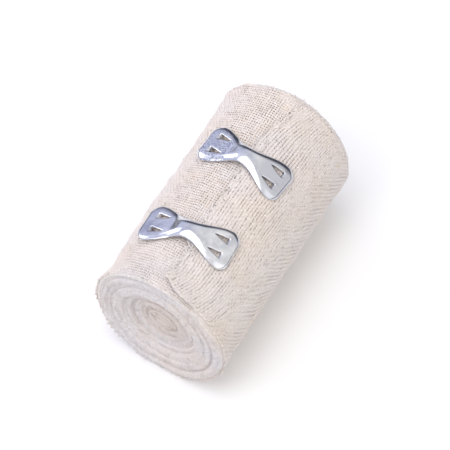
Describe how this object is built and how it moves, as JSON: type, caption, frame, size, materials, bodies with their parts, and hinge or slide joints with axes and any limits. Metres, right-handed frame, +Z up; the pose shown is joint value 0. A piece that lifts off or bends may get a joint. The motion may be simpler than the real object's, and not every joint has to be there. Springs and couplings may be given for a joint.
{
  "type": "crepe bandage roll",
  "caption": "Rolled elastic crepe bandage of unbleached cotton, its loose end held on top by butterfly bandage clips.",
  "frame": {"origin": "on the supporting surface, under the middle of the bounding box", "axes": "+Y along the roll's axis from its near end to its far end, +Z up, the loose end lies over the +X side"},
  "size_m": [0.0432, 0.0784, 0.0457],
  "materials": {
    "crepe_cloth": "matt unbleached cotton crepe, open plain weave",
    "clip_metal": "bright pressed sheet metal, lightly scratched"
  },
  "bodies": {
    "root": {"bandage_roll": "crepe_cloth", "free_end": "crepe_cloth", "clip_far": "clip_metal", "clip_near": "clip_metal"}
  },
  "joints": []
}
